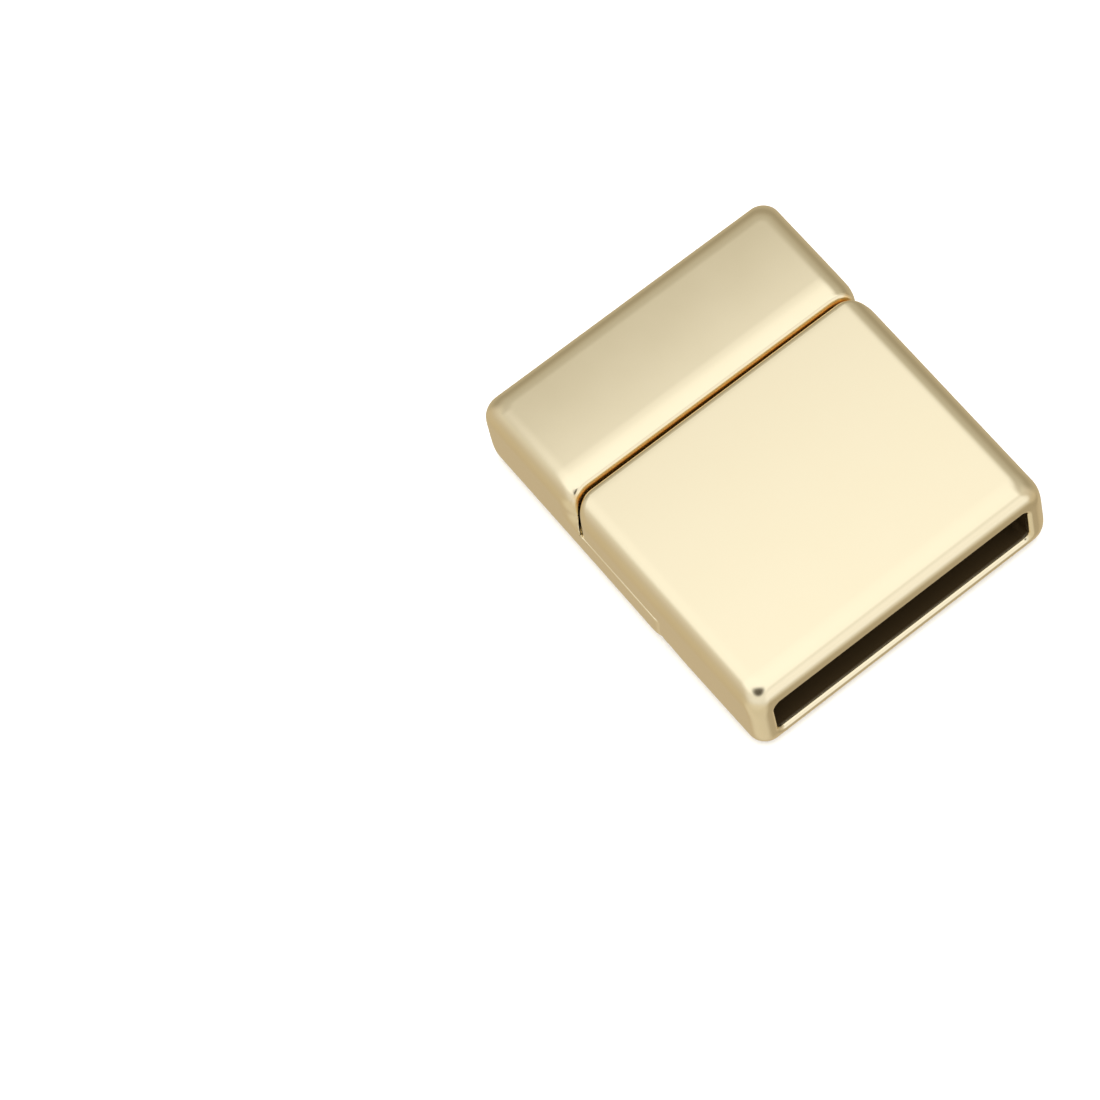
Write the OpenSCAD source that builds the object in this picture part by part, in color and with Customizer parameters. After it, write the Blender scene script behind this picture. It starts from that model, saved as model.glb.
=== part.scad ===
// Magnetic clasp for a flat strap, closed.
// Two cast halves meet in a half lap. Each holds one strap end in a blind slot and two disc magnets
// in its lap face. The lower half's magnets stand proud and locate in the upper half's pockets.
// A half is long on one face and short on the other, and the upper half is such a casting turned over.
// X runs along the strap, Z is up, and the origin is the middle of the underside.

/* [Strap] */
// Width of the strap that the slots hold
strap_w = 20; // [16:0.5:40]
// Thickness of the strap
strap_t = 3; // [2:0.1:5]
// How much wider a slot is than the strap
slot_play_w = 0.2; // [0:0.05:1]
// How much higher a slot is than the strap
slot_play_t = 0.1; // [0:0.05:0.6]

/* [Castings] */
// Wall beside a slot
side_wall = 1.5; // [1.3:0.1:3]
// Wall above and below a slot
face_wall = 1.4; // [1.3:0.1:3]
// Length of the thick end of each half, on its short face
end_l = 8.9; // [6:0.1:16]
// How far the end face leans back from the short face to the long one
end_slant = 0.9; // [0:0.1:1.2]
// Wall between a slot's blind end and the seam
back_wall = 1.6; // [0.8:0.1:3]
// Length of each half's tongue, past its thick end
tongue_l = 9.85; // [8:0.05:16]

/* [Fit of the halves] */
// Gap between one half's tongue tip and the other's thick end
seam_gap = 0.25; // [0.15:0.05:0.6]
// Gap between the two lap faces
lap_gap = 0.06; // [0.02:0.01:0.3]
// Turn of the upper half on the lower one, within its play, in degrees
sit_turn = 0.2; // [0:0.1:0.4]
// Shift of the upper half across the strap, within its play
sit_shift = 0.05; // [0:0.05:0.1]

/* [Roundings] */
// Upright corners at a slot's end, as far as the wall beside the slot leaves room
corner_r = 1; // [0.4:0.1:1]
// Outer edges of both faces
edge_r = 1.1; // [0.4:0.1:1.2]
// Upright corners of the upper tongue's tip
upper_tip_r = 2; // [0.6:0.1:2.4]
// Upright corners of the lower tongue's tip
lower_tip_r = 0.7; // [0.4:0.1:2.4]
// Inside corner between a seam and the lap, and the tongue's edge in it
step_r = 0.8; // [0.2:0.1:1]
// Lips of the seams across both faces
lip_r = 0.3; // [0.1:0.05:0.6]
// Lips of a slot's mouth
mouth_r = 0.4; // [0.1:0.05:0.5]
// Inside corners of a slot
slot_corner_r = 0.5; // [0.1:0.1:0.7]

/* [Magnets] */
// Diameter of the lower half's magnets
lower_magnet_d = 6; // [3:0.1:6.5]
// Diameter of the upper half's magnets
upper_magnet_d = 6.4; // [6.2:0.1:7]
// Thickness of every magnet
magnet_t = 1.6; // [0.8:0.1:1.7]
// From a side of the clasp to the middle of the magnet beside it
magnet_inset = 5.6; // [4.2:0.1:7.8]
// Glue gap round and under each magnet
glue_gap = 0.05; // [0.02:0.01:0.1]
// How far the lower magnets stand out of their lap face
magnet_proud = 0.4; // [0.1:0.05:0.5]
// Gap over the lower magnets' faces
magnet_air = 0.15; // [0.05:0.05:0.2]

/* [Hidden] */
$fn = 96;
// Overlap of a cut with the air that it starts in
air = 1;
// Flat land left between a slot's lip and the upright corner beside it
land = 0.1;
slot_w = strap_w + slot_play_w;
slot_h = strap_t + slot_play_t;
body_w = slot_w + 2 * side_wall;
body_h = slot_h + 2 * face_wall;
body_l = 2 * end_l + tongue_l + seam_gap;
slot_depth = end_l - back_wall;
end_corner_r = min(corner_r, side_wall - mouth_r - land);
slant = atan(end_slant / body_h);
outer_x = -body_l / 2;
seam_x = outer_x + end_l;
tip_x = seam_x + tongue_l;
lap_z = (body_h - lap_gap) / 2;
pocket_x = (seam_x + seam_gap + tip_x) / 2;
pocket_y = body_w / 2 - magnet_inset;
lower_pocket_d = magnet_t + glue_gap - magnet_proud;
upper_pocket_d = magnet_t + glue_gap + magnet_proud + magnet_air - lap_gap;
casting_color = [0.86, 0.79, 0.6];
magnet_color = [0.72, 0.73, 0.74];

// Where the leaning end face is at height z
function end_x(z) = outer_x + end_slant * (body_h - z) / body_h;

// Part of a disc from one direction to another, less than half a turn apart
module pie(r, from, to) {
    reach = 2 * r;
    mid = (from + to) / 2;
    intersection() {
        circle(r);
        polygon([
            [0, 0],
            reach * [cos(from), sin(from)],
            reach * [cos(mid), sin(mid)],
            reach * [cos(to), sin(to)]
        ]);
    }
}

// Cross-section of the clasp, with its long edges rounded
module cross_section() {
    flat_w = body_w - 2 * edge_r;
    square([flat_w, body_h], center = true);
    for (side = [-1, 1])
        translate([side * (body_w - edge_r) / 2, 0])
            square([edge_r, body_h - 2 * edge_r], center = true);
    for (side = [0, 1], face = [0, 1])
        mirror([side, 0])
            mirror([0, face])
                translate([flat_w / 2, body_h / 2 - edge_r])
                    pie(edge_r, 0, 90);
}

// What rounding an edge of radius r takes away, of a corner at 0 whose sides run along 0 and angle degrees
module edge_waste(r, angle) {
    half = angle / 2;
    mid = r / sin(half) * [cos(half), sin(half)];
    run = r / tan(half);
    off = angle + 90;
    difference() {
        polygon([
            mid,
            [run, 0],
            [run, -air],
            -air / sin(half) * [cos(half), sin(half)],
            run * [cos(angle), sin(angle)] + air * [cos(off), sin(off)],
            run * [cos(angle), sin(angle)]
        ]);
        translate(mid)
            circle(r);
    }
}

// Side view of a casting before anything is cut, with the leaning end face at -X
module side_view() {
    difference() {
        polygon([
            [tip_x, 0],
            [tip_x, body_h],
            [end_x(body_h), body_h],
            [end_x(0), 0]
        ]);
        translate([end_x(0), 0])
            edge_waste(edge_r, 90 + slant);
        translate([end_x(body_h), body_h])
            mirror([0, 1])
                edge_waste(edge_r, 90 - slant);
    }
}

// Upright edge cutter at the origin, with the metal towards +X and +Y, from z = 0 to h
module upright_waste(r, h) {
    linear_extrude(h)
        edge_waste(r, 90);
}

// Level edge cutter along Y at the origin, with the metal towards +X and +Z
module level_waste(r, length, angle = 90) {
    rotate([90, 0, 0])
        linear_extrude(length, center = true)
            edge_waste(r, angle);
}

// Blind slot for the strap, with rounded lips
module strap_slot() {
    r = slot_corner_r;
    mid_z = body_h / 2;
    translate([outer_x - air, 0, mid_z])
        rotate([90, 0, 90])
            linear_extrude(slot_depth + air) {
                square([slot_w - 2 * r, slot_h], center = true);
                for (side = [-1, 1])
                    translate([side * (slot_w - r) / 2, 0])
                        square([r, slot_h - 2 * r], center = true);
                for (side = [0, 1], face = [0, 1])
                    mirror([side, 0])
                        mirror([0, face])
                            translate([slot_w / 2 - r, slot_h / 2 - r])
                                pie(r, 0, 90);
            }
    translate([end_x(mid_z + slot_h / 2), 0, mid_z + slot_h / 2])
        level_waste(mouth_r, slot_w, 90 + slant);
    translate([end_x(mid_z - slot_h / 2), 0, mid_z - slot_h / 2])
        mirror([0, 0, 1])
            level_waste(mouth_r, slot_w, 90 - slant);
    for (side = [0, 1])
        mirror([0, side, 0])
            translate([end_x(mid_z), slot_w / 2, mid_z])
                rotate([0, -slant, 0])
                    translate([0, 0, -slot_h / 2])
                        upright_waste(mouth_r, slot_h);
}

// What rounding the upright corners of the leaning end face takes away
module end_corner_waste() {
    corner_h = 2 * body_h;
    for (side = [0, 1])
        mirror([0, side, 0])
            translate([end_x(body_h / 2), -body_w / 2, body_h / 2])
                rotate([0, -slant, 0])
                    translate([0, 0, -corner_h / 2])
                        upright_waste(end_corner_r, corner_h);
}

// Room for the other half's tongue, shaped to its tip's corners of radius r
module tongue_room(r) {
    side_y = body_w / 2 + seam_gap;
    difference() {
        translate([seam_x, -side_y, lap_z])
            cube([body_l, 2 * side_y, body_h]);
        for (side = [0, 1])
            mirror([0, side, 0])
                translate([seam_x, -side_y, 0])
                    upright_waste(r + seam_gap, body_h + 2 * air);
        translate([seam_x, 0, lap_z])
            level_waste(step_r, 2 * body_w);
    }
}

// What shaping the tongue's tip takes away, with corners of radius r
module tip_waste(r) {
    for (side = [0, 1])
        mirror([0, side, 0])
            translate([tip_x, -body_w / 2, -air])
                mirror([1, 0, 0])
                    upright_waste(r, body_h);
    translate([tip_x, 0, lap_z])
        mirror([0, 0, 1])
            mirror([1, 0, 0])
                level_waste(step_r, 2 * body_w);
    translate([tip_x, 0, 0])
        mirror([1, 0, 0])
            level_waste(lip_r, 2 * body_w);
}

// Round pockets for the magnets, cut down from the lap face
module magnet_pockets(d, depth) {
    for (side = [-1, 1])
        translate([pocket_x, side * pocket_y, lap_z - depth])
            cylinder(d = d + 2 * glue_gap, h = depth + air);
}

// One cast half, as it lies when it is the lower one
module casting(magnet_d, pocket_depth, tip_r, other_tip_r) {
    difference() {
        intersection() {
            translate([outer_x, 0, body_h / 2])
                rotate([90, 0, 90])
                    linear_extrude(tip_x - outer_x)
                        cross_section();
            rotate([90, 0, 0])
                linear_extrude(2 * body_w, center = true)
                    side_view();
        }
        end_corner_waste();
        tongue_room(other_tip_r);
        tip_waste(tip_r);
        translate([seam_x, 0, body_h])
            mirror([0, 0, 1])
                mirror([1, 0, 0])
                    level_waste(lip_r, 2 * body_w);
        strap_slot();
        magnet_pockets(magnet_d, pocket_depth);
    }
}

// One disc magnet, standing on the floor of its pocket in the lower position
module magnet(side, d, pocket_depth) {
    translate([pocket_x, side * pocket_y, lap_z - pocket_depth + glue_gap])
        cylinder(d = d, h = magnet_t);
}

// Turns a piece over into the upper half's place, with the halves' play
module turned_over() {
    translate([0, sit_shift, 0])
        rotate([0, 0, sit_turn])
            translate([0, 0, body_h])
                rotate([0, 180, 0])
                    children();
}

module lower_half() {
    color(casting_color)
        casting(lower_magnet_d, lower_pocket_d, lower_tip_r, upper_tip_r);
}

module upper_half() {
    color(casting_color)
        turned_over()
            casting(upper_magnet_d, upper_pocket_d, upper_tip_r, lower_tip_r);
}

module lower_magnet(side) {
    color(magnet_color)
        magnet(side, lower_magnet_d, lower_pocket_d);
}

module upper_magnet(side) {
    color(magnet_color)
        turned_over()
            magnet(side, upper_magnet_d, upper_pocket_d);
}

lower_half();
upper_half();
lower_magnet(-1);  // lower_magnet_1
lower_magnet(1);  // lower_magnet_2
upper_magnet(-1);  // upper_magnet_1
upper_magnet(1);  // upper_magnet_2
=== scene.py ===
"""Looks of the closed magnetic clasp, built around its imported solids."""

from math import atan, ceil, cos, pi, radians, sin, tan

import bpy
import numpy as np
from mathutils import Matrix, Vector


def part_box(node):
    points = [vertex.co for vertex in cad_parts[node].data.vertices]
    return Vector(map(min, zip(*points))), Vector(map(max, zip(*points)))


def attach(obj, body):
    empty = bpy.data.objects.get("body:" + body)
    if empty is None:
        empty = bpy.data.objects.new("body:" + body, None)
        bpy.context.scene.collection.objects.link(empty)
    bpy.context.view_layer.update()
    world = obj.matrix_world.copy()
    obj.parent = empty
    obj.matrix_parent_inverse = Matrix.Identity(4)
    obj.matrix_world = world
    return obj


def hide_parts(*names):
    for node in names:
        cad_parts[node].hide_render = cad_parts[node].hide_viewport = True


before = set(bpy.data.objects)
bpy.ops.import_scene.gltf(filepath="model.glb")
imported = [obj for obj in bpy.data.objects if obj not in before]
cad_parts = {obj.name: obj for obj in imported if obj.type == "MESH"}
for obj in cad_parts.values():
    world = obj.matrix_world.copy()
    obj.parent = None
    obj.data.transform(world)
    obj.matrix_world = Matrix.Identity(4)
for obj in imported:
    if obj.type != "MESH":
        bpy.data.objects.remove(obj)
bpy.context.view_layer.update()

# ---- Sizes, in millimetres ---------------------------------------------------------------------

MM = 0.001
low, high = (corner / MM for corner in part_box("lower_half"))

# Form of a casting, as it lies when it is the lower one
BODY_W = high.y - low.y
BODY_H = high.z - low.z
TIP_X = high.x
EDGE_R = 1.1
END_SLANT = 0.9
LEAN = atan(END_SLANT / BODY_H)
OUTER_X = low.x + EDGE_R - EDGE_R / tan((pi / 2 - LEAN) / 2)
END_L = 8.9
SEAM_X = OUTER_X + END_L
SEAM_GAP = 0.25
SEAM_OPEN = 0.02       # how much wider the upper seam's groove is at its lips
SEAM_NARROW = 0.18     # how much the groove closes below them
NARROW_DEPTH = (0.4, 0.75)  # from here to there below its lips
NARROW_IN = 0.4        # and only this far in from the sides
FLARE = 0.02           # how much wider the lower tongue is at its tip, on each side
LAP_EDGE_R = 0.12      # the lower tongue's edge along the lap
SIDE_GAP = 0.08        # gap beside a tongue's round corners, where the ears run out
LAP_GAP = 0.06
LAP_Z = (BODY_H - LAP_GAP) / 2

# Roundings of a casting
CORNER_R = 0.95        # an end's upright corners at half height
FACE_CORNER_R = 1.8    # the same corners where they reach a flat face
CORNER_REACH = 2.0     # height over which the one grows into the other
CORNER_POWER = 2       # how fast it grows
SEAM_LIP_R = 0.4       # the seam's edge on the thick end
TIP_LIP_R = 0.30       # the seam's edge on the tongue
STEP_R = 0.8           # inside corner of the step, and the tongue's edge that lies in it
TIP_CORNER_R = {"lower": 1.7, "upper": 1.8}
EAR_L = 1.5            # how far the thick end reaches round the upper tongue
EAR_R = 2.2
EAR_FADE = 1.2         # how far above the lap the ears are round
SMALL_R = 0.06         # edges that are only broken
SOFT_R = 1.6           # reach of the long edges' fillets, which fade into the flat faces
SOFT_POWER = 2.7
ROLL_L = 1.8           # where the short face starts to bend down to the seam
ROLL = 0.11            # how much lower it is at the seam than at its highest
TIP_ROLL_L = 0.9       # the same for a tongue's outer face
TIP_ROLL = 0.012
CROWN = 0.12           # how much lower it is at the strap's end

# Slot for the strap
SLOT_W = 20.2
SLOT_H = 3.1
SLOT_END_X = SEAM_X - 1.6
SLOT_CORNER_R = 0.5
SLOT_FLOOR_R = 0.3
MOUTH_R = 0.3

# Magnets and their pockets
MAGNET_PITCH = 12.0
GLUE_GAP = 0.05
MAGNET_EDGE_R = 0.15
POCKET_LIP_R = 0.1

# How the upper half sits on the lower one
SIT_TURN = radians(0.2)
SIT_SHIFT = 0.05


# ---- Forms as fields: below zero inside, about the distance to the surface ---------------------


def round_max(a, b, r, power=2):
    """What is inside both a and b, with a fillet of reach r where they meet: round for power 2."""
    u = np.maximum(a + r, 0)
    v = np.maximum(b + r, 0)
    return np.minimum(np.maximum(a, b), -r) + (u ** power + v ** power) ** (1 / power)


def round_min(a, b, r):
    """What is inside a or b, with an inside fillet of radius r where they meet."""
    return -round_max(-a, -b, r)


def ease(value, start, end):
    """0 at start, 1 at end and smooth between."""
    t = np.clip((value - start) / (end - start), 0, 1)
    return t * t * (3 - 2 * t)


def casting_field(x, y, z, deck, pocket_r, pocket_z):
    """One cast half, with the strap's end at -X and the tongue towards +X."""
    other = "upper" if deck == "lower" else "lower"
    across = np.abs(y)
    side = across - BODY_W / 2
    flare = FLARE * ease(x, SEAM_X + EAR_L, TIP_X) if deck == "lower" else 0
    end = (OUTER_X + END_SLANT * (BODY_H - z) / BODY_H - x) * cos(LEAN)

    # The short face is a little crowned along the strap, and bends down to the seam
    along = np.maximum(SEAM_X - ROLL_L - x, 0) / (END_L - ROLL_L)
    rolled = np.clip((x - SEAM_X + ROLL_L) / ROLL_L, 0, 1)
    top = z - BODY_H + CROWN * (along + along ** 2) / 2 + ROLL * rolled ** 3
    tip_rolled = np.clip((x - TIP_X + TIP_ROLL_L) / TIP_ROLL_L, 0, 1)
    face = np.maximum(top, TIP_ROLL * tip_rolled ** 3 - z)

    # The upright corners open out towards the flat faces
    up = np.clip(1 + face / CORNER_REACH, 0, 1) ** CORNER_POWER
    plan = round_max(end, side - flare, CORNER_R + (FACE_CORNER_R - CORNER_R) * up)

    # Beside the upper tongue, the thick end's upright corners are round too
    if deck == "lower":
        eared = round_max(plan, x - SEAM_X - EAR_L, EAR_R)
        plan = plan + (eared - plan) * ease(z, LAP_Z, LAP_Z + EAR_FADE)
    body = round_max(plan, face, SOFT_R, SOFT_POWER)

    # The tongue's tip, with round upright corners
    tip_x = TIP_X
    if deck == "upper":
        narrow = SEAM_NARROW * ease(across, BODY_W / 2 - NARROW_IN, BODY_W / 2 - TIP_CORNER_R[deck])
        tip_x = TIP_X - SEAM_OPEN + (narrow + SEAM_OPEN) * ease(z, *NARROW_DEPTH)
    tip = round_max(x - tip_x, side - flare - SMALL_R, TIP_CORNER_R[deck] + SMALL_R)
    on_face = ease(-z, -EDGE_R, -EDGE_R / 2)
    body = round_max(body, tip, SMALL_R + (TIP_LIP_R - SMALL_R) * on_face)

    # The step: the seam's wall follows the other half's tongue round its corners
    room = round_max(SEAM_X - x, side - SIDE_GAP, TIP_CORNER_R[other] + SEAM_GAP)
    inner = ease(across, BODY_W / 2, BODY_W / 2 - EDGE_R)
    step = round_min(-room, z - LAP_Z, SMALL_R + (STEP_R - SMALL_R) * inner)
    step_edge = SMALL_R + (SEAM_LIP_R - SMALL_R) * ease(z, LAP_Z + STEP_R, BODY_H - SEAM_LIP_R)
    at_tip = ease(x, SEAM_X + STEP_R, TIP_X - STEP_R)
    if deck == "lower":
        step_edge = step_edge + (LAP_EDGE_R - SMALL_R) * ease(x, SEAM_X + EAR_L, SEAM_X + 2 * EAR_L)
    metal = round_max(body, step, step_edge + (STEP_R - SMALL_R) * inner * at_tip)

    # The strap's slot and the magnets' pockets
    slot = round_max(across - SLOT_W / 2, np.abs(z - BODY_H / 2) - SLOT_H / 2, SLOT_CORNER_R)
    slot = round_max(slot, x - SLOT_END_X, SLOT_FLOOR_R)
    metal = round_max(metal, -slot, MOUTH_R)
    pocket_x = (SEAM_X + SEAM_GAP + TIP_X) / 2
    pocket = np.hypot(x - pocket_x, across - MAGNET_PITCH / 2) - pocket_r
    pocket = np.maximum(pocket, pocket_z - z)
    return round_max(metal, -pocket, POCKET_LIP_R)


def gradient(field, points, reach=1e-3):
    """The field's slope at each point."""
    slope = np.empty_like(points)
    for axis in range(3):
        step = np.zeros(3)
        step[axis] = reach
        slope[:, axis] = (field(*(points + step).T) - field(*(points - step).T)) / (2 * reach)
    return slope


def stations(start, *runs):
    """Grid lines from start, through runs of (end, widest spacing)."""
    lines = [start]
    for end, spacing in runs:
        count = ceil((end - lines[-1]) / spacing)
        lines += list(np.linspace(lines[-1], end, count + 1)[1:])
    return np.array(lines)


def surface_net(field, xs, ys, zs):
    """Points and quads on the field's zero surface: one point in each grid cell that it crosses."""
    lines = (xs, ys, zs)
    grid = np.stack(np.meshgrid(*lines, indexing="ij"), axis=-1)
    value = field(grid[..., 0], grid[..., 1], grid[..., 2])
    cells = [len(line) - 1 for line in lines]
    total = np.zeros((*cells, 3))
    count = np.zeros(cells)
    edges = []
    for axis in range(3):
        others = [a for a in range(3) if a != axis]
        first = [slice(None)] * 3
        second = [slice(None)] * 3
        first[axis] = slice(None, -1)
        second[axis] = slice(1, None)
        a, b = value[tuple(first)], value[tuple(second)]
        crossed = np.argwhere((a < 0) != (b < 0))
        inner = np.all([(crossed[:, o] > 0) & (crossed[:, o] < cells[o]) for o in others], axis=0)
        crossed = crossed[inner]
        at = tuple(crossed.T)
        share = a[at] / (a[at] - b[at])
        point = grid[at].copy()
        before, after = lines[axis][crossed[:, axis]], lines[axis][crossed[:, axis] + 1]
        point[:, axis] += share * (after - before)
        around = []
        for shift in ((0, 0), (1, 0), (1, 1), (0, 1)):
            cell = crossed.copy()
            cell[:, others[0]] -= shift[0]
            cell[:, others[1]] -= shift[1]
            around.append(cell)
            np.add.at(total, tuple(cell.T), point)
            np.add.at(count, tuple(cell.T), 1)
        outward = (a[at] < 0) == (axis == 1)
        edges.append((np.stack(around, axis=1), outward))
    used = count > 0
    number = np.full(cells, -1)
    number[used] = np.arange(used.sum())
    points = total[used] / count[used][:, None]
    quads = []
    for around, outward in edges:
        quad = number[tuple(np.moveaxis(around, -1, 0))]
        quads.append(np.where(outward[:, None], quad[:, ::-1], quad))
    return points, np.concatenate(quads)


def settle(field, points, rounds=8):
    """Moves each point along the field's slope onto its zero surface."""
    for _ in range(rounds):
        slope = gradient(field, points)
        size = np.maximum((slope ** 2).sum(axis=1), 0.1)
        points = points - (field(*points.T) / size)[:, None] * slope
    return points


def new_piece(name, points, faces, normals=None):
    """A mesh object, from millimetres."""
    mesh = bpy.data.meshes.new(name)
    mesh.from_pydata([tuple(p) for p in points * MM], [], [tuple(f) for f in faces])
    mesh.validate()
    mesh.shade_smooth()
    if normals is not None:
        mesh.normals_split_custom_set_from_vertices([tuple(n) for n in normals])
    piece = bpy.data.objects.new(name, mesh)
    bpy.context.scene.collection.objects.link(piece)
    return piece


# ---- Castings ----------------------------------------------------------------------------------

# Spacings of the grid, and how far it reaches past the casting
FINE = 0.09
MEDIUM = 0.2
COARSE = 0.6
MARGIN = 0.2

# Where the metal in the slot is painted dark as shade: how far past the mouth, and how close to the
# walls
SLOT_SHADE_DEPTH = (0.32, 0.42)
SLOT_SHADE_REACH = 0.02
SLOT_SHADE_END = 0.05

# Where the grooves beside the seams are painted a darker brown as shade: from where to where it
# sets in, and fades further down
SEAM_SHADE_WALL = (-0.35, -0.1)        # along the strap, from the thick end's wall
SEAM_SHADE_WALL_L = 0.9
SEAM_SHADE_WALL_DEPTH = (0.2, 0.45)    # below the wall's lip
SEAM_SHADE_TIP_L = 0.35
SEAM_SHADE_TIP_DEPTH = (0.5, 0.7)      # below the tongue's lip
SEAM_SHADE_SIDE = (0.45, 1.0)          # in from the sides
SEAM_SHADE_FADE = (1.5, 0.8)


def casting_lines():
    """Grid lines for a casting, close together across its fillets."""
    half_w = BODY_W / 2
    pocket = MAGNET_PITCH / 2
    xs = stations(
        OUTER_X - 0.25, (OUTER_X + END_SLANT + EDGE_R, FINE), (SLOT_END_X - 0.5, COARSE),
        (SLOT_END_X + 0.1, FINE * 1.5), (SEAM_X - 0.4, 0.3), (SEAM_X + 1.6, FINE),
        (TIP_X - 2.2, MEDIUM), (TIP_X + MARGIN, FINE),
    )
    ys = stations(
        0.0, (pocket - 3.3, 2 * MEDIUM), (pocket + 3.3, MEDIUM), (half_w - 2.6, MEDIUM),
        (half_w + MARGIN, FINE),
    )
    ys = np.concatenate([-ys[:0:-1], ys])
    zs = stations(
        -MARGIN, (2.2, FINE), (LAP_Z - 0.3, 0.15), (LAP_Z + 1.0, FINE), (BODY_H + MARGIN, FINE),
    )
    return xs, ys, zs


def casting_mesh(deck):
    """Points, quads and normals of a casting, as it lies when it is the lower one."""
    pocket_r, pocket_z = pocket_of(f"{deck}_magnet_1", deck)

    def field(x, y, z):
        return casting_field(x, y, z, deck, pocket_r, pocket_z)

    points, quads = surface_net(field, *casting_lines())
    points = settle(field, points)
    slope = gradient(field, points)
    return points, quads, slope / np.linalg.norm(slope, axis=1)[:, None]


def turned_over(points, moved=True):
    """The upper half's place: the casting turned over about Y, and sat on the lower one."""
    out = points * (-1, 1, -1)
    c, s = cos(SIT_TURN), sin(SIT_TURN)
    out = out @ np.array([[c, s, 0], [-s, c, 0], [0, 0, 1]])
    return out + (0, SIT_SHIFT, BODY_H) if moved else out


def pocket_of(magnet, deck):
    """Radius of a magnet's pocket, and its floor below the lap face, from the magnet's solid."""
    lo, hi = (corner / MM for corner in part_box(magnet))
    floor = lo.z - GLUE_GAP if deck == "lower" else BODY_H - hi.z - GLUE_GAP
    return (hi.y - lo.y) / 2 + GLUE_GAP, floor


def in_slot(points):
    """1 deep in the strap's slot, where shade is painted on the metal, 0 at its mouth and outside,
    for points of a casting.
    """
    x, y, z = points.T
    walls = np.maximum(np.abs(y) - SLOT_W / 2, np.abs(z - BODY_H / 2) - SLOT_H / 2)
    depth = x - (OUTER_X + END_SLANT * (BODY_H - z) / BODY_H)
    return (walls < SLOT_SHADE_REACH) * (x < SLOT_END_X + SLOT_SHADE_END) * ease(depth, *SLOT_SHADE_DEPTH)


def in_seam(points):
    """1 down in the grooves beside the seams, where shade is painted on the metal, 0 on the
    outside, for points of a casting.
    """
    x, y, z = points.T
    under = np.minimum(z, BODY_H - z)
    at_wall = (np.abs(x - SEAM_X) < SEAM_SHADE_WALL_L) * (z > LAP_Z) * ease(x - SEAM_X, *SEAM_SHADE_WALL)
    at_wall = at_wall * ease(under, *SEAM_SHADE_WALL_DEPTH)
    at_tip = (x > TIP_X - SEAM_SHADE_TIP_L) * ease(under, *SEAM_SHADE_TIP_DEPTH)
    inside = ease(BODY_W / 2 - np.abs(y), *SEAM_SHADE_SIDE)
    return np.maximum(at_wall, at_tip) * inside * ease(under, *SEAM_SHADE_FADE)


def new_casting(name, deck):
    """A casting in its place, with the attributes that its metal reads."""
    points, quads, normals = casting_mesh(deck)
    # Painted shade: how deep in the strap's slot each point lies, where the metal is painted dark
    # brown
    dark = in_slot(points)
    # Painted shade: how far down in a seam's groove each point lies, where the metal is painted a
    # darker brown
    seam_shade = in_seam(points)
    if deck == "upper":
        points, normals = turned_over(points), turned_over(normals, False)
    casting = new_piece(name, points, quads, normals)
    casting.data.attributes.new("in_slot", "FLOAT", "POINT").data.foreach_set("value", dark)
    casting.data.attributes.new("in_seam", "FLOAT", "POINT").data.foreach_set("value", seam_shade)
    return casting


lower_casting = new_casting("lower_casting", "lower")
upper_casting = new_casting("upper_casting", "upper")
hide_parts("lower_half")
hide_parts("upper_half")
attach(lower_casting, "lower")
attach(upper_casting, "upper")


# ---- Magnets -----------------------------------------------------------------------------------


MAGNET_SIDES = 96
MAGNET_BEND = 6
FLAT_RING = 0.5        # a ring within the flat faces, as a share of the radius


def disc_magnet(name, node):
    """A disc with rounded edges, in the place of its solid."""
    lo, hi = (np.array(corner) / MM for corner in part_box(node))
    centre = (lo + hi) / 2
    r = (hi[1] - lo[1]) / 2
    around = MAGNET_SIDES
    rings = []
    for turn in np.linspace(0, pi / 2, MAGNET_BEND):
        rings.append((r - MAGNET_EDGE_R * (1 - sin(turn)), lo[2] + MAGNET_EDGE_R * (1 - cos(turn))))
    rings += [(ring_r, lo[2] + hi[2] - z) for ring_r, z in rings[::-1]]
    rings = [(r * FLAT_RING, lo[2])] + rings + [(r * FLAT_RING, hi[2])]
    angle = 2 * pi * np.arange(around) / around
    points = [
        (centre[0] + ring_r * cos(a), centre[1] + ring_r * sin(a), z)
        for ring_r, z in rings for a in angle
    ]
    last = (len(rings) - 1) * around
    faces = []
    for start in range(0, last, around):
        for i in range(around):
            a, b = start + i, start + (i + 1) % around
            faces.append((a, b, b + around, a + around))
    faces += [tuple(range(around))[::-1], tuple(last + i for i in range(around))]
    return new_piece(name, np.array(points), faces)


magnets = []
for deck in ("lower", "upper"):
    for number in (1, 2):
        node = f"{deck}_magnet_{number}"
        magnet = disc_magnet(f"{deck}_disc_{number}", node)
        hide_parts(node)
        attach(magnet, deck)
        magnets.append(magnet)


# ---- Materials ---------------------------------------------------------------------------------


GOLD_TONES = ((0.3, (0.925, 0.820, 0.585)), (0.7, (0.945, 0.840, 0.605)))
NICKEL_TONES = ((0.0, (0.52, 0.53, 0.54)), (1.0, (0.60, 0.60, 0.60)))
FLOOR_TONES = ((0.0, (0.90, 0.90, 0.90)), (1.0, (0.92, 0.92, 0.92)))
# Painted shade: a darker brown, a little less metallic, laid down in the seam grooves
SEAM_SHADE = (0.74, 0.43, 0.09)
# Painted shade: a dark brown, made rougher, laid deep in the strap's slot
SLOT_SHADE = (0.13, 0.088, 0.042)
SEAM_SHADE_METALLIC = 0.88
SLOT_SHADE_ROUGHER = 0.45


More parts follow.
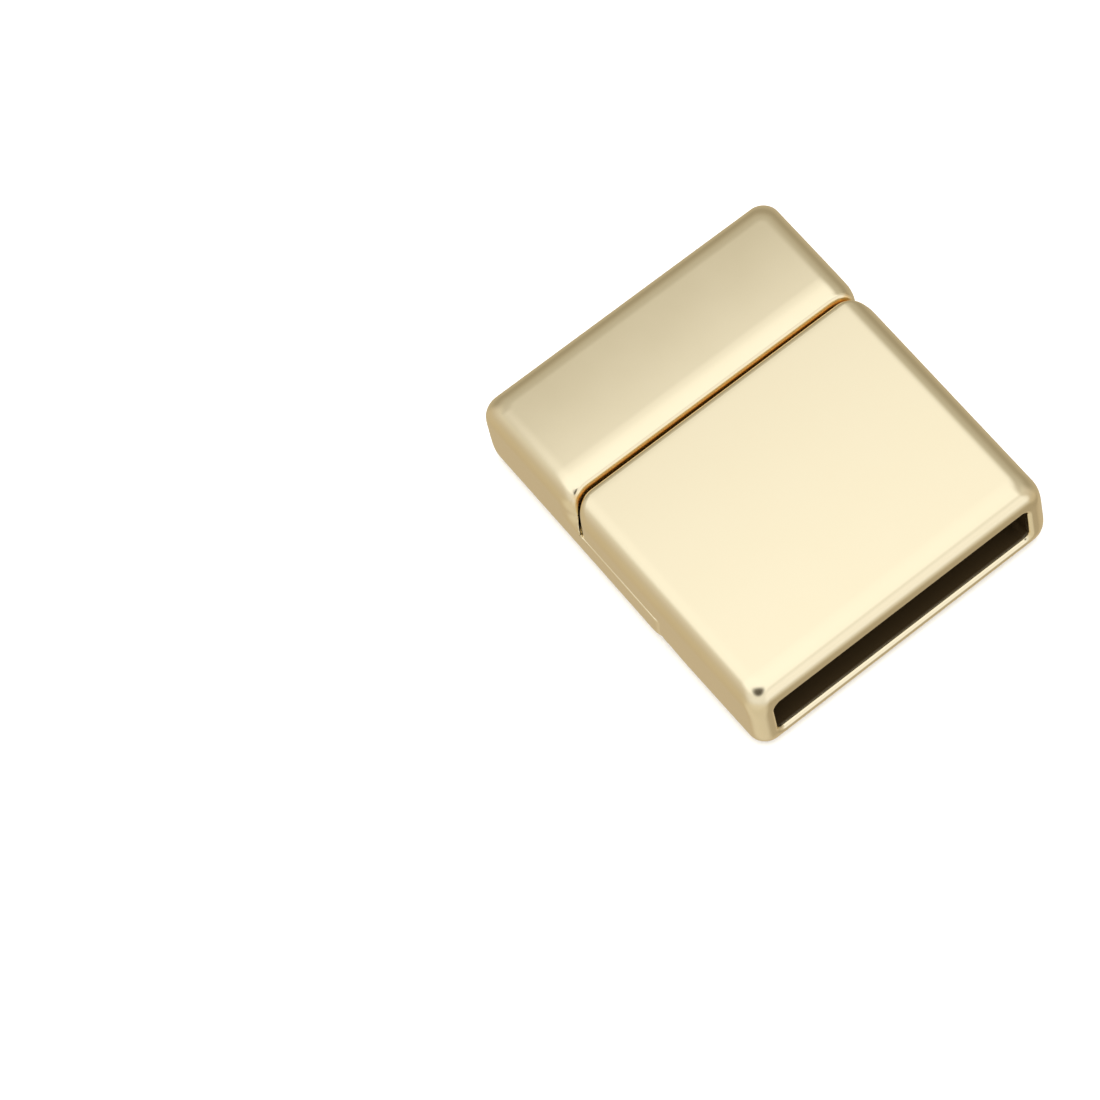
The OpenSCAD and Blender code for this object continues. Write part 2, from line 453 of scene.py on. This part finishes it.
def new_material(name, metallic, noise_scale, noise_detail, tones):
    """A material, its noise from 0 to 1, and the noise as a tone between two colours."""
    material = bpy.data.materials.new(name)
    material.use_nodes = True
    nodes, links = material.node_tree.nodes, material.node_tree.links
    shader = nodes["Principled BSDF"]
    shader.inputs["Metallic"].default_value = metallic
    place = nodes.new("ShaderNodeTexCoord")
    mottle = nodes.new("ShaderNodeTexNoise")
    mottle.inputs["Scale"].default_value = noise_scale
    mottle.inputs["Detail"].default_value = noise_detail
    links.new(place.outputs["Object"], mottle.inputs["Vector"])
    tone = nodes.new("ShaderNodeValToRGB")
    for mark, (at, colour) in zip(tone.color_ramp.elements, tones):
        mark.position = at
        mark.color = (*colour, 1)
    links.new(mottle.outputs["Fac"], tone.inputs["Fac"])
    return material, shader, mottle.outputs["Fac"], tone.outputs["Color"]


def between(material, value, low, high):
    """low where the value is 0, high where it is 1."""
    spread = material.node_tree.nodes.new("ShaderNodeMapRange")
    spread.inputs["To Min"].default_value = low
    spread.inputs["To Max"].default_value = high
    material.node_tree.links.new(value, spread.inputs["Value"])
    return spread.outputs["Result"]


def satin_gold():
    material, shader, mottle, tone = new_material("satin_gold", 1, 220, 3, GOLD_TONES)
    nodes, links = material.node_tree.nodes, material.node_tree.links

    def coloured_in(name, under, colour):
        """The attribute of a casting, and the colour laid over what is under it there."""
        attribute = nodes.new("ShaderNodeAttribute")
        attribute.attribute_name = name
        mix = nodes.new("ShaderNodeMixRGB")
        mix.inputs["Color2"].default_value = (*colour, 1)
        links.new(attribute.outputs["Fac"], mix.inputs["Fac"])
        links.new(under, mix.inputs["Color1"])
        return attribute.outputs["Fac"], mix.outputs["Color"]

    # Painted shade: a darker brown, a little less metallic, down in the seam grooves
    seam, colour = coloured_in("in_seam", tone, SEAM_SHADE)
    # Painted shade: dark brown and rougher deep in the strap's slot
    slot, colour = coloured_in("in_slot", colour, SLOT_SHADE)
    links.new(colour, shader.inputs["Base Color"])
    links.new(between(material, seam, 1.0, SEAM_SHADE_METALLIC), shader.inputs["Metallic"])
    rough = nodes.new("ShaderNodeMath")
    rough.operation = "MULTIPLY_ADD"
    rough.inputs[1].default_value = SLOT_SHADE_ROUGHER
    links.new(slot, rough.inputs[0])
    links.new(between(material, mottle, 0.15, 0.18), rough.inputs[2])
    links.new(rough.outputs["Value"], shader.inputs["Roughness"])
    return material


def nickel():
    material, shader, mottle, tone = new_material("nickel", 1, 900, 2, NICKEL_TONES)
    links = material.node_tree.links
    links.new(tone, shader.inputs["Base Color"])
    links.new(between(material, mottle, 0.14, 0.30), shader.inputs["Roughness"])
    return material


def floor_white():
    material, shader, _, tone = new_material("floor_white", 0, 40, 2, FLOOR_TONES)
    material.node_tree.links.new(tone, shader.inputs["Base Color"])
    shader.inputs["Roughness"].default_value = 0.8
    return material


gold = satin_gold()
for casting in (lower_casting, upper_casting):
    casting.data.materials.append(gold)
plated = nickel()
for magnet in magnets:
    magnet.data.materials.append(plated)


# ---- Floor, light and camera -------------------------------------------------------------------

FLOOR_SIZE = 3.0
half = FLOOR_SIZE / 2 / MM
corners = np.array([(-half, -half, 0), (half, -half, 0), (half, half, 0), (-half, half, 0)])
floor = new_piece("floor", corners, [(0, 1, 2, 3)])
floor.data.materials.append(floor_white())
floor.visible_glossy = False


FLOOR_LIGHT_SIZE = 2.0
FLOOR_LIGHT_HEIGHT = 1.2
FLOOR_LIGHT_POWER = 34.0


def floor_light():
    """A square light above the clasp, which the metal doesn't reflect."""
    data = bpy.data.lights.new("floor_light", "AREA")
    data.size = FLOOR_LIGHT_SIZE
    data.energy = FLOOR_LIGHT_POWER
    light = bpy.data.objects.new("floor_light", data)
    light.location = (0, 0, FLOOR_LIGHT_HEIGHT)
    light.visible_glossy = False
    bpy.context.scene.collection.objects.link(light)


floor_light()


def direction(azimuth, elevation):
    a, e = radians(azimuth), radians(elevation)
    return cos(a) * cos(e), sin(a) * cos(e), sin(e)


# The studio as the metal reflects it: axes to measure a direction along, and levels by height
UP = (0, 0, 1)
RIGHT_SIDE = (0, 1, 0)
PANEL_EDGE = (1, 0, 0.4)
FAR_SIDE = direction(135, 0)
ROOM = (
    (-1.00, (0.56, 0.47, 0.33)), (-0.40, (0.60, 0.52, 0.38)), (0.03, (0.60, 0.53, 0.41)),
    (0.30, (0.62, 0.56, 0.46)), (0.55, (0.67, 0.62, 0.54)), (0.75, (0.71, 0.68, 0.60)),
    (0.88, (0.59, 0.56, 0.50)), (1.00, (0.57, 0.54, 0.48)),
)
DARK_SIDE = (
    (-1.00, (0.56, 0.47, 0.33)), (-0.30, (0.50, 0.44, 0.33)), (0.00, (0.45, 0.40, 0.31)),
    (0.30, (0.38, 0.34, 0.26)), (0.50, (0.40, 0.36, 0.28)), (0.65, (0.47, 0.43, 0.35)),
    (0.75, (0.52, 0.49, 0.41)), (0.85, (0.54, 0.51, 0.44)), (0.95, (0.54, 0.51, 0.45)),
)
LIT_SIDE = (
    (-1.00, (0.40, 0.34, 0.24)), (-0.54, (0.42, 0.36, 0.26)), (-0.30, (0.52, 0.46, 0.35)),
    (-0.12, (0.68, 0.64, 0.56)), (0.12, (0.80, 0.79, 0.76)), (0.60, (0.90, 0.90, 0.89)),
    (0.79, (0.97, 0.97, 0.95)), (0.87, (1.16, 1.17, 1.17)),
)

# Where each of its parts sets in, from and to, as shares along the axes
DARK_FAR = (0.2, 0.55)
PANEL_RIGHT = (0.50, 0.28)
LOW_PANEL_EDGE, LOW_PANEL_UP = (-0.1, 0.75), (0.9, 0.6)
HIGH_PANEL_EDGE, HIGH_PANEL_UP = (-0.045, 0.012), (0.6, 0.85)
TABLE_EDGE, TABLE_UP = (0.0, 0.35), (-0.1, -0.5)
TABLE = (0.42, 0.36, 0.26)
BACKDROP = (0.93, 0.93, 0.92)

# Round spots in it: direction, where the spot sets in, how strong it is, and its colour
SPOTS = (
    (direction(18, 24), (0.88, 0.99), 0.8, (1.06, 1.06, 1.06)),
    (direction(-45, -30), (0.55, 0.85), 0.8, (0.76, 0.70, 0.57)),
    (direction(-32, 65.6), (0.935, 0.99), 1.0, (0.09, 0.08, 0.065)),
)


def studio_world():
    """A world that the metal reflects by direction, and that the camera sees as a pale backdrop."""
    world = bpy.data.worlds.new("studio")
    bpy.context.scene.world = world
    world.use_nodes = True
    nodes, links = world.node_tree.nodes, world.node_tree.links
    place = nodes.new("ShaderNodeTexCoord")

    def share(axis):
        """The direction's share along an axis."""
        dot = nodes.new("ShaderNodeVectorMath")
        dot.operation = "DOT_PRODUCT"
        dot.inputs[1].default_value = axis
        links.new(place.outputs["Generated"], dot.inputs[0])
        return dot.outputs["Value"]

    def soft(value, edges, high=1.0):
        """0 at the first edge, high at the second and smooth between."""
        step = nodes.new("ShaderNodeMapRange")
        step.interpolation_type = "SMOOTHSTEP"
        for socket, number in zip(step.inputs[1:5], (*edges, 0.0, high)):
            socket.default_value = number
        links.new(value, step.inputs["Value"])
        return step.outputs["Result"]

    def times(a, b):
        product = nodes.new("ShaderNodeMath")
        product.operation = "MULTIPLY"
        links.new(a, product.inputs[0])
        links.new(b, product.inputs[1])
        return product.outputs["Value"]

    def ramp(value, levels):
        """Colours at levels of a value from -1 to 1."""
        place_on = nodes.new("ShaderNodeMapRange")
        place_on.inputs["From Min"].default_value = -1
        links.new(value, place_on.inputs["Value"])
        colours = nodes.new("ShaderNodeValToRGB")
        marks = colours.color_ramp.elements
        while len(marks) < len(levels):
            marks.new(1.0)
        for mark, (at, colour) in zip(marks, levels):
            mark.position = (at + 1) / 2
            mark.color = (*colour, 1)
        links.new(place_on.outputs["Result"], colours.inputs["Fac"])
        return colours.outputs["Color"]

    def mixed(amount, under, over):
        """What is under, with a socket's colour or a plain one laid over it."""
        mix = nodes.new("ShaderNodeMixRGB")
        links.new(amount, mix.inputs["Fac"])
        links.new(under, mix.inputs["Color1"])
        if isinstance(over, tuple):
            mix.inputs["Color2"].default_value = (*over, 1)
        else:
            links.new(over, mix.inputs["Color2"])
        return mix.outputs["Color"]

    up = share(UP)
    edge = share(PANEL_EDGE)
    lit = ramp(up, LIT_SIDE)
    beside = soft(share(RIGHT_SIDE), PANEL_RIGHT)
    light = mixed(soft(share(FAR_SIDE), DARK_FAR), ramp(up, ROOM), ramp(up, DARK_SIDE))
    for panel_edge, panel_up in ((LOW_PANEL_EDGE, LOW_PANEL_UP), (HIGH_PANEL_EDGE, HIGH_PANEL_UP)):
        panel = times(times(soft(edge, panel_edge), soft(up, panel_up)), beside)
        light = mixed(panel, light, lit)
    light = mixed(times(soft(edge, TABLE_EDGE), soft(up, TABLE_UP)), light, TABLE)
    for towards, edges, strength, colour in SPOTS:
        light = mixed(soft(share(towards), edges, strength), light, colour)
    is_camera = nodes.new("ShaderNodeLightPath").outputs["Is Camera Ray"]
    links.new(mixed(is_camera, light, BACKDROP), nodes["Background"].inputs["Color"])


studio_world()

# The camera, fitted to the photograph's outline of the clasp
FRAME_PX = 1100
SENSOR_W = 36.0
CAMERA_AZIMUTH = 147.98
CAMERA_ELEVATION = 65.64
CAMERA_ROLL = 7.08
PX_PER_MM = 15.98
CLASP_FROM_CAMERA = Vector((13.40, -3.80, 337.73))


def photo_camera():
    a, e, r = (radians(v) for v in (CAMERA_AZIMUTH, CAMERA_ELEVATION, CAMERA_ROLL))
    forward = Vector((cos(a) * cos(e), sin(a) * cos(e), -sin(e)))
    level = Vector((sin(a), -cos(a), 0))
    below = forward.cross(level)
    right = cos(r) * level + sin(r) * below
    down = cos(r) * below - sin(r) * level
    turn = Matrix((right, down, forward))
    data = bpy.data.cameras.new("photo_camera")
    data.sensor_width = SENSOR_W
    data.lens = PX_PER_MM * CLASP_FROM_CAMERA.z / FRAME_PX * data.sensor_width
    data.clip_start = 0.01
    camera = bpy.data.objects.new("photo_camera", data)
    place = Matrix((right, -down, -forward)).transposed().to_4x4()
    place.translation = -(turn.transposed() @ CLASP_FROM_CAMERA) * MM
    camera.matrix_world = place
    bpy.context.scene.collection.objects.link(camera)
    bpy.context.scene.camera = camera


photo_camera()
bpy.context.scene.view_settings.view_transform = "Standard"
